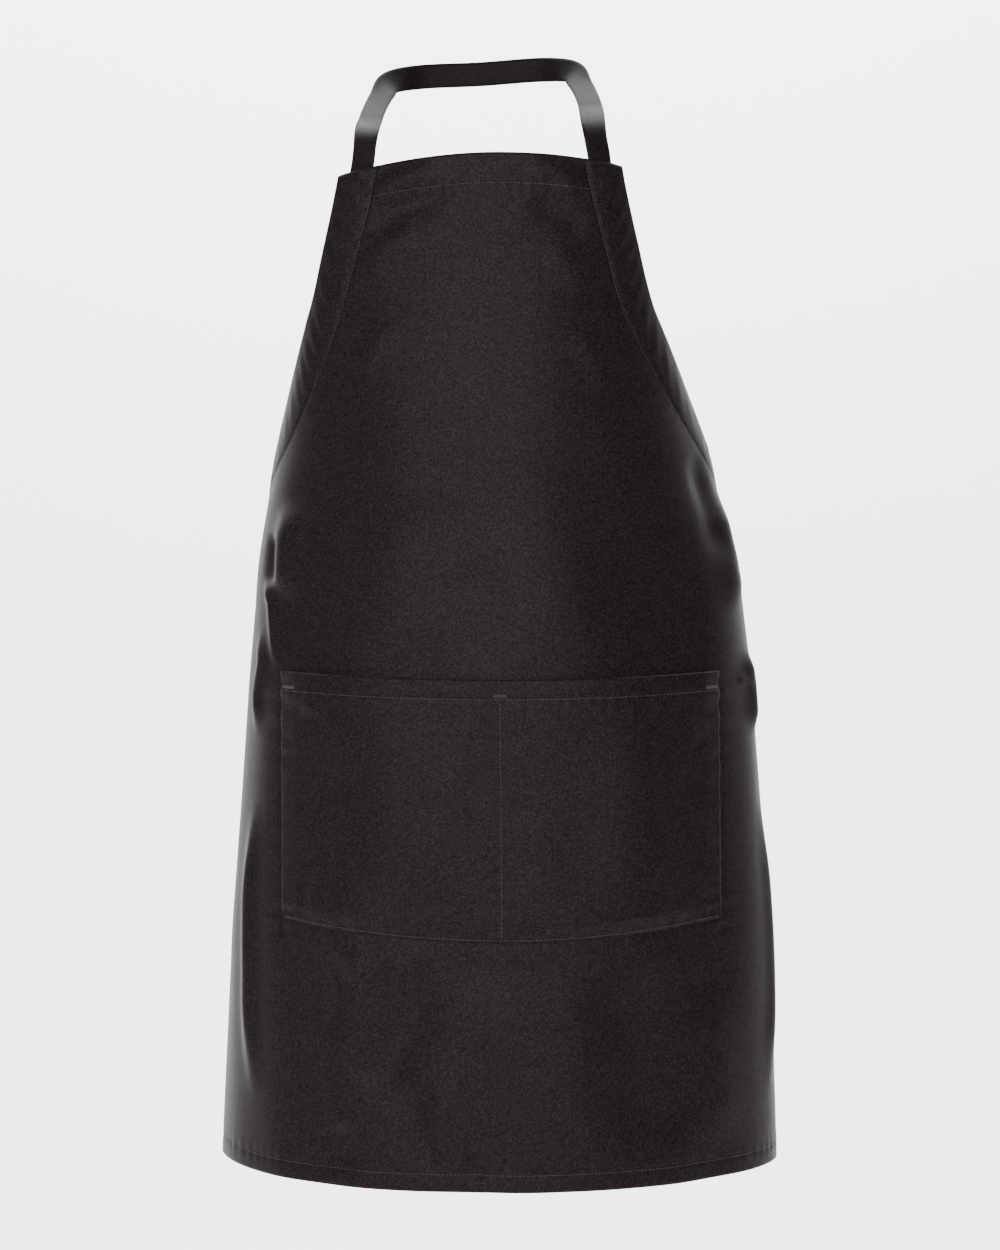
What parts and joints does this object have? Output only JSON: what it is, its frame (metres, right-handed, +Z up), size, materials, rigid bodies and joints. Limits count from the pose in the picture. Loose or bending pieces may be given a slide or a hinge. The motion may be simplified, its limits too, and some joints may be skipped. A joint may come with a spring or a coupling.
{
  "type": "bib apron",
  "caption": "Full-length bib apron in thin satin-faced cloth, with a sliding strap that forms the neck loop and waist tie, and a patch pocket divided by a stitched line.",
  "frame": {"origin": "inside face of the neck loop at the nape, where the strap lies on the wearer's neck", "axes": "+Z up the wearer, the apron's front faces -Y, +X to the right as seen from the front"},
  "size_m": [0.4272, 0.2935, 0.858],
  "materials": {
    "satin_cloth": "satin-faced twill, soft sheen",
    "strap_tape": "folded satin tape",
    "thread": "polyester sewing thread",
    "label_tape": "woven label tape"
  },
  "bodies": {
    "apron": {"bib_hem_thread": "thread", "bib_top_hem": "satin_cloth", "body_panel": "satin_cloth", "bottom_hem": "satin_cloth", "bottom_hem_thread": "thread", "care_label": "label_tape", "care_label_thread": "thread", "left_casing": "satin_cloth", "left_casing_strap": "strap_tape", "left_casing_thread": "thread", "left_side_hem": "satin_cloth", "left_side_hem_thread": "thread", "pocket_bartacks": "thread", "pocket_bottom_fold": "satin_cloth", "pocket_bottom_thread": "thread", "pocket_divider_thread": "thread", "pocket_left_fold": "satin_cloth", "pocket_left_thread": "thread", "pocket_mouth_hem": "satin_cloth", "pocket_mouth_thread": "thread", "pocket_panel": "satin_cloth", "pocket_right_fold": "satin_cloth", "pocket_right_thread": "thread", "right_casing": "satin_cloth", "right_casing_strap": "strap_tape", "right_casing_thread": "thread", "right_side_hem": "satin_cloth", "right_side_hem_thread": "thread"},
    "strap_legs": {"left_strap_leg": "strap_tape", "right_strap_leg": "strap_tape"},
    "neck_loop": {"neck_loop": "strap_tape"},
    "waist_tie": {"left_waist_tie": "strap_tape", "right_waist_tie": "strap_tape", "tie_knot": "strap_tape"},
    "left_bow_loop": {"left_bow_loop": "strap_tape"},
    "right_bow_loop": {"right_bow_loop": "strap_tape"},
    "left_tie_tail": {"left_tie_tail": "strap_tape"},
    "right_tie_tail": {"right_tie_tail": "strap_tape"}
  },
  "joints": [
    {"name": "strap_adjust", "type": "slide", "parent": "apron", "child": "strap_legs", "axis": [0, 0, 1], "range_m": [-0.006, 0.03]},
    {"name": "neck_loop_tilt", "type": "hinge", "parent": "strap_legs", "child": "neck_loop", "pos_m": [0, -0.13531, -0.074], "axis": [1, 0, 0], "range_deg": [-75, 90]},
    {"name": "waist_tie_tilt", "type": "hinge", "parent": "apron", "child": "waist_tie", "pos_m": [0, 0.026, -0.3555], "axis": [1, 0, 0], "range_deg": [-35, 60]},
    {"name": "left_bow_swing", "type": "hinge", "parent": "waist_tie", "child": "left_bow_loop", "pos_m": [0, 0.08048, -0.3555], "axis": [0, 1, 0], "range_deg": [-20, 30]},
    {"name": "right_bow_swing", "type": "hinge", "parent": "waist_tie", "child": "right_bow_loop", "pos_m": [0, 0.08048, -0.3555], "axis": [0, 1, 0], "range_deg": [-30, 20]},
    {"name": "left_tail_swing", "type": "hinge", "parent": "waist_tie", "child": "left_tie_tail", "pos_m": [0, 0.08048, -0.3555], "axis": [0, 1, 0], "range_deg": [-25, 40]},
    {"name": "right_tail_swing", "type": "hinge", "parent": "waist_tie", "child": "right_tie_tail", "pos_m": [0, 0.08048, -0.3555], "axis": [0, 1, 0], "range_deg": [-40, 25]}
  ]
}
